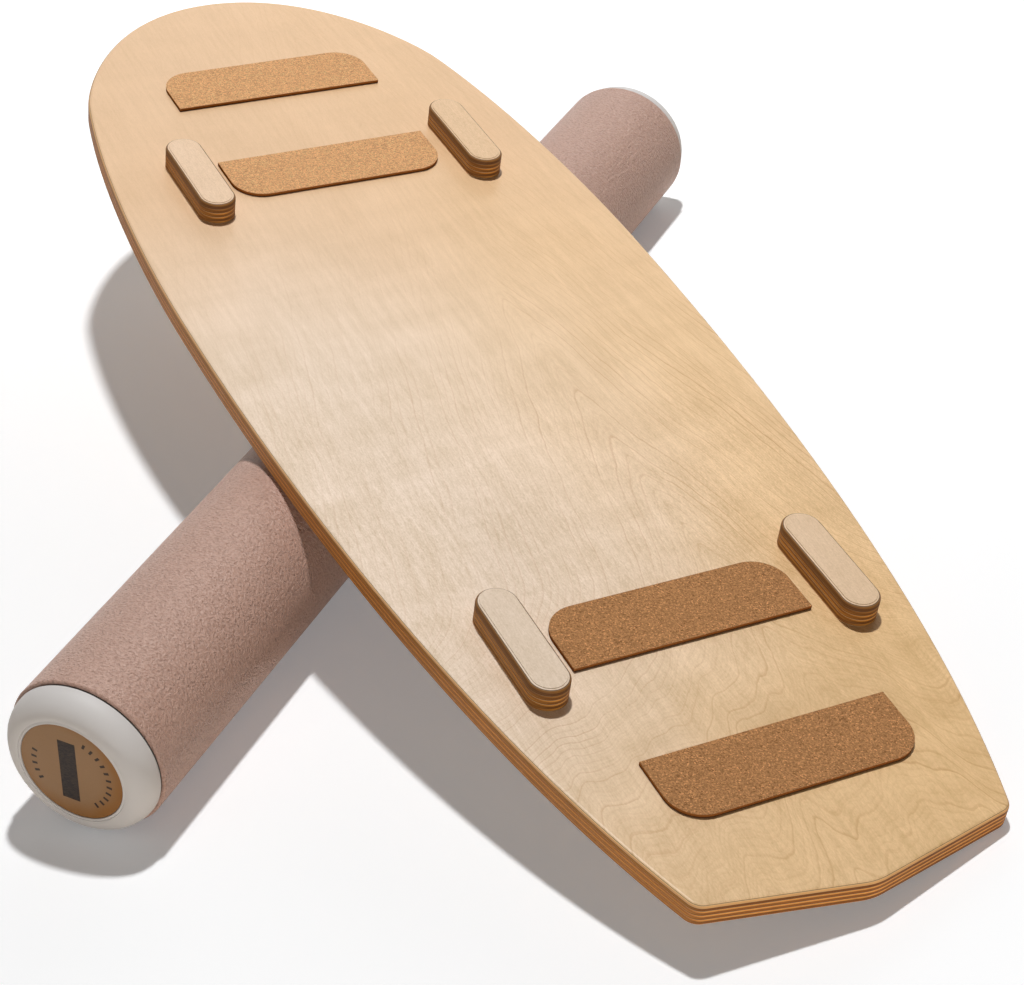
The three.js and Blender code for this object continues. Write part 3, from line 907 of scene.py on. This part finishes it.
def capProfile(spec):
    base, rise, width, wall = spec["baseLand"], spec["crownHeight"], spec["crownWidth"], spec["wall"]
    rim, spigot, foot = spec["rimRadius"], spec["spigotRadius"], -spec["spigotLength"]
    floor, groove, edge, brim = spec["recessFloor"], spec["lipGroove"], spec["edgeBreak"], spec["recessBreak"]
    lip, top = rim - width, base + rise
    bore, ceiling, recess = spigot - spec["spigotWall"], floor - wall, lip - spec["lipWidth"]
    meets = math.degrees(math.acos((bore - lip) / (width - wall)))
    starts = math.degrees(math.asin((ceiling - base) / (rise - wall)))
    return [
        (0, ceiling), (spec["hubRadius"], ceiling),
        *arcPoints(lip, base, width - wall, rise - wall, starts, meets, spec["innerSteps"]),
        (bore, foot), (spigot - spec["leadIn"], foot), (spigot, foot + spec["leadIn"]),
        (spigot, 0), (rim - edge, 0), (rim, edge),
        *arcPoints(lip, base, width, rise, 0, 90, spec["crownSteps"]),
        (lip - groove * 0.5, top - groove), (lip - groove * 1.4, top - groove * 0.2),
        (lip - groove * 2, top), (recess + brim, top), (recess, top - brim),
        (recess, floor), (recess * 0.5, floor), (0, floor),
    ]


def capFinish(name, centre):
    web = Finish(name)
    place = web.place(Matrix.Translation(centre))
    fine = web.noise(place, *caps["fine"]) - 0.5
    cloud = web.noise(place, *caps["cloud"]) - 0.5
    drawn = web.stretched(place, caps["scuffDrawn"])
    scuff = web.step(web.noise(drawn, *caps["scuff"]), 0.66, 0.80)
    colour = web.shaded(web.blend(scuff * 0.25, caps["colour"], caps["scuffed"]), 1.0 + cloud * 0.03)
    return web.close(colour=colour, roughness=0.55 + cloud * 0.12 + scuff * 0.15, specular=0.35,
                     normal=web.bump(fine, 0.00008, 0.35))


# Thin plates round the axis: each has a level top and a lower edge that slopes outwards
def radialPlates(web, count, thickness, inner, outer, top, lowInner, lowOuter):
    block = web.node("GeometryNodeMeshCube", None, {"Size": (1.0, 1.0, 1.0), "Vertices X": 2,
                     "Vertices Y": 2, "Vertices Z": 2}, "Mesh")
    x, y, z = web.split(web.node("GeometryNodeInputPosition"))
    outward, upper = x + 0.5, z + 0.5
    low = lowInner + outward * (lowOuter - lowInner)
    plate = web.moved(block, inner + outward * (outer - inner), y * thickness, low + upper * (top - low))
    points = web.node("GeometryNodePoints", None, {"Count": count})
    turn = web.node("GeometryNodeInputIndex") / count * (2 * math.pi)
    return web.node("GeometryNodeInstanceOnPoints", None, {
        "Points": points, "Instance": plate, "Rotation": web.vector(0.0, 0.0, turn)})


def capBuilder(spec, material):
    ceiling = (spec["recessFloor"] - spec["wall"]) * mm
    bore = (spec["spigotRadius"] - spec["spigotWall"]) * mm
    sunk = spec["sunk"] * mm
    web = Builder("capRibs", {
        **inputsFrom(spec, mm, "ribWidth", "ribLength", "ribReach", "ribLead", "spigotRadius",
                     "hubRadius", "webThickness", "webDepth"),
        **inputsFrom(spec, 1, "ribs", "webs"), "Finish": material})
    foot, thin = web.given("Rib Length") * -1.0, web.given("Web Thickness")
    ribs = radialPlates(web, web.given("Ribs"), web.given("Rib Width"), web.given("Spigot Radius") - sunk,
                        web.given("Rib Reach"), -sunk, foot, foot + web.given("Rib Lead"))
    plates = radialPlates(web, web.given("Webs"), thin, web.given("Hub Radius"), bore + sunk,
                          ceiling + sunk, ceiling - thin, ceiling - web.given("Web Depth"))
    web.close(web.together(web.given("Geometry"), ribs, plates))
    return web


# cap discs

discs = {
    "radius": 38.0, "thickness": 1.2, "edgeBreak": 0.3, "lift": 16.7,
    "card": tone(158, 125, 92), "rim": tone(148, 98, 42), "fleck": tone(120, 84, 48), "ink": tone(34, 28, 27),
    "bar": (6.6, 25.0), "barTurn": 0.12, "barShift": 2.1,    # half sizes in mm, lean, shift in mm
    "tickBand": (26.2, 30.2), "ticks": 30, "tickWidth": 0.16,
    "tickArcs": (0.36, 0.17),        # how far the ticks run on the two sides, shares of half a turn
    "softBar": 0.1, "softTick": 0.03, "softBand": 0.15, "softArc": 0.01,
    "rimFrom": (25.0, 46.0),         # where the card turns browner, mm from its middle
    "pulp": (480, 4, 0.65, 1), "cloud": (40, 2, 0.5, 2), "flecks": (420, 2, 0.6, 5),
    "pulpDrawn": (1, 1, 3), "fleckDrawn": (2.6, 1, 1),
}


def discFinish(name, centre):
    web = Finish(name)
    place = web.place(Matrix.Translation(centre))
    x, _, z = web.split(place)

    # 1 under the limit and 0 over it, with a soft edge
    def under(value, limit, soft):
        return web.step(value, limit + soft, limit - soft)

    fromAxis = (x * x + z * z) ** 0.5 / mm
    around = web.maths("ARCTAN2", z, x) / math.pi
    halfWide, halfHigh = discs["bar"]
    level = (x - z * discs["barTurn"]) / mm + discs["barShift"]
    upright = (z + x * discs["barTurn"]) / mm
    bar = under(abs(level), halfWide, discs["softBar"]) * under(abs(upright), halfHigh, discs["softBar"])
    beat = web.maths("FRACT", around * (discs["ticks"] / 2) + 0.5)
    tick = under(abs(beat - 0.5), discs["tickWidth"], discs["softTick"])
    low, high = discs["tickBand"]
    band = (1.0 - under(fromAxis, low, discs["softBand"])) * under(fromAxis, high, discs["softBand"])
    (rightArc, leftArc), soft = discs["tickArcs"], discs["softArc"]
    reach = web.step(abs(around), rightArc + soft, rightArc)
    reach = reach + web.step(abs(around), 1.0 - leftArc - soft, 1.0 - leftArc)
    ink = web.least(bar + tick * band * reach, 1.0)
    pulp = web.noise(web.stretched(place, discs["pulpDrawn"]), *discs["pulp"]) - 0.5
    cloud = web.noise(place, *discs["cloud"]) - 0.5
    fleck = web.step(web.noise(web.stretched(place, discs["fleckDrawn"]), *discs["flecks"]), 0.70, 0.76)
    outward = fromAxis + cloud * 16.0 + (x - z) * 170.0
    card = web.blend(web.step(outward, *discs["rimFrom"]) * 0.85, discs["card"], discs["rim"])
    card = web.shaded(card, 1.0 + pulp * 0.18 + cloud * 0.12)
    card = web.blend(fleck * 0.3, card, discs["fleck"])
    colour = web.blend(ink * web.least(0.94 + pulp * 0.5, 1.0), card, discs["ink"])
    return web.close(colour=colour, roughness=0.42 + pulp * 0.15 - ink * 0.08, specular=0.15,
                     normal=web.bump(pulp * 0.6 + ink * 0.4, 0.00006, 0.5))


def makeRollerEnds(spec, card):
    for end, way in (("near", -1), ("far", 1)):
        low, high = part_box(f"cap_{end}")
        lipFace = high.y if way > 0 else low.y
        zero = lipFace - way * (spec["baseLand"] + spec["crownHeight"]) * mm
        centre = Vector((rollerCentre.x, zero, rollerCentre.z))
        seat = Matrix.Translation(centre) @ endTurn(way)
        shell = turnedMesh(capProfile(spec), spec["steps"])
        whole = capBuilder(spec, capFinish(f"whiteCap_{end}", centre)).grow(shell)
        finishPiece(f"cap_{end}_shell", whole, seat, "roller", f"cap_{end}", sharpAbove=35)
        radius, thick, edge = card["radius"], card["thickness"], card["edgeBreak"]
        inlay = turnedMesh([(0, 0), (radius * 0.5, 0), (radius, 0), (radius, thick - edge),
                            (radius - edge * 0.4, thick - edge * 0.12), (radius - edge, thick),
                            (radius * 0.5, thick), (0, thick)], spec["steps"])
        cardSeat = Matrix.Translation(centre + Vector((0, way * card["lift"] * mm, 0))) @ endTurn(way)
        finishPiece(f"disc_{end}_card", inlay, cardSeat, "roller", f"cap_disc_{end}",
                    discFinish(f"kraftDisc_{end}", centre))


makeRollerEnds(caps, discs)
print("caps and discs made")

# roller tube, carried over from the frame

tube = {
    "colour": tone(70, 66, 62), "line": 0.20,
    "lines": (1, 3, 0.6, 1), "cloud": (18, 3, 0.5, 2), "speck": (900, 2, 0.5, 3),
    "linesDrawn": (420, 2, 420),
}


def tubeFinish(spec):
    web = Finish("extrudedTube")
    place = web.place(Matrix.Translation(rollerCentre))
    lines = web.noise(web.stretched(place, spec["linesDrawn"]), *spec["lines"]) - 0.5
    cloud, speck = (web.noise(place, *spec[kind]) - 0.5 for kind in ("cloud", "speck"))
    colour = web.shaded(spec["colour"], 1.0 + lines * spec["line"] + cloud * 0.06 + speck * 0.04)
    return web.close(colour=colour, roughness=0.45 + lines * 0.2,
                     normal=web.bump(lines + speck * 0.3, 0.00008, 0.4))


def dressTube(spec):
    finish = tubeFinish(spec)
    for entry in frame["nodes"]["roller_tube"].material_slots:
        entry.material = finish


dressTube(tube)
print("tube dressed")

# floor, world and lamps

studio = {
    # Each lamp's place, power, shape and size
    "lamps": {"key": ((0.0, 0.596, 3.59), 96.5, "DISK", (0.22, 0.22)),
              "back": ((-0.7, 3.0, 1.7), 14.0, "RECTANGLE", (2.6, 1.4)),
              "front": ((1.2, -2.78, 0.2), 21.0, "RECTANGLE", (1.6, 0.26))},
    "fill": (0.092, 0.068, 0.047, 1),            # the world's light on the object
    "floorReach": 14,                            # half the floor's side, m
    "floorSeen": (0.97, 0.985, 1.0, 1), "floorBounce": (0.84, 0.74, 0.62, 1),
    "glowColour": (0.88, 0.94, 1.0, 1), "floorGlow": 0.183, "farGlow": 0.50,
    "glowFrom": 0.4, "glowTo": 1.4, "whiteAt": 4.5,      # distances over which the floor turns white, m
}


# What the camera, mirrors and glass see of the studio is white; it lights the object much less
def seenRays(web):
    rays = web.node("ShaderNodeLightPath", None, None, "Is Camera Ray")
    return web.least(rays + rays.beside("Is Glossy Ray") + rays.beside("Is Transmission Ray"), 1.0)


def makeFloor(spec):
    reach = spec["floorReach"]
    corners = [(-reach, -reach, 0), (reach, -reach, 0), (reach, reach, 0), (-reach, reach, 0)]
    mesh = meshFrom(corners, [(0, 1, 2, 3)])
    web = Finish("paleFloor")
    x, y, _ = web.split(web.place())
    distance = (x * x + y * y) ** 0.5
    far = web.step(distance, spec["glowFrom"], spec["glowTo"])
    farther = web.step(distance, spec["glowTo"], spec["whiteAt"])
    glow = far * (spec["farGlow"] - spec["floorGlow"]) + farther * (1.0 - spec["farGlow"]) + spec["floorGlow"]
    seen = seenRays(web)
    ground = web.blend(seen, spec["floorBounce"], spec["floorSeen"])
    matt = web.node("ShaderNodeBsdfDiffuse", None, {"Color": ground})
    shine = web.node("ShaderNodeEmission", None,
                     {"Color": web.shaded(spec["glowColour"], seen * glow), "Strength": 1.0})
    both = web.node("ShaderNodeAddShader", None, [matt, shine])
    web.node("ShaderNodeOutputMaterial", None, {"Surface": both})
    mesh.materials.append(web.material)
    piece = bpy.data.objects.new("studio_floor", mesh)
    scene.collection.objects.link(piece)


def makeWorld(spec):
    world = bpy.data.worlds.new("studio")
    world.use_nodes = True
    scene.world = world
    web = NodeWeb(world.node_tree)
    web.tree.nodes.clear()
    sky = web.blend(seenRays(web), spec["fill"], (1, 1, 1, 1))
    shine = web.node("ShaderNodeBackground", None, {"Color": sky, "Strength": 1.0})
    web.node("ShaderNodeOutputWorld", None, {"Surface": shine})


def makeLamps(spec):
    for name, (place, power, shape, size) in spec["lamps"].items():
        data = bpy.data.lights.new(name, "AREA")
        data.shape, data.energy = shape, power
        data.size, data.size_y = size
        lamp = bpy.data.objects.new(name, data)
        lamp.location = place
        lamp.rotation_mode = "QUATERNION"
        lamp.rotation_quaternion = Vector(place).to_track_quat("Z", "Y")
        scene.collection.objects.link(lamp)


makeFloor(studio)
makeWorld(studio)
makeLamps(studio)
scene.view_settings.view_transform = "Standard"
print("studio made")
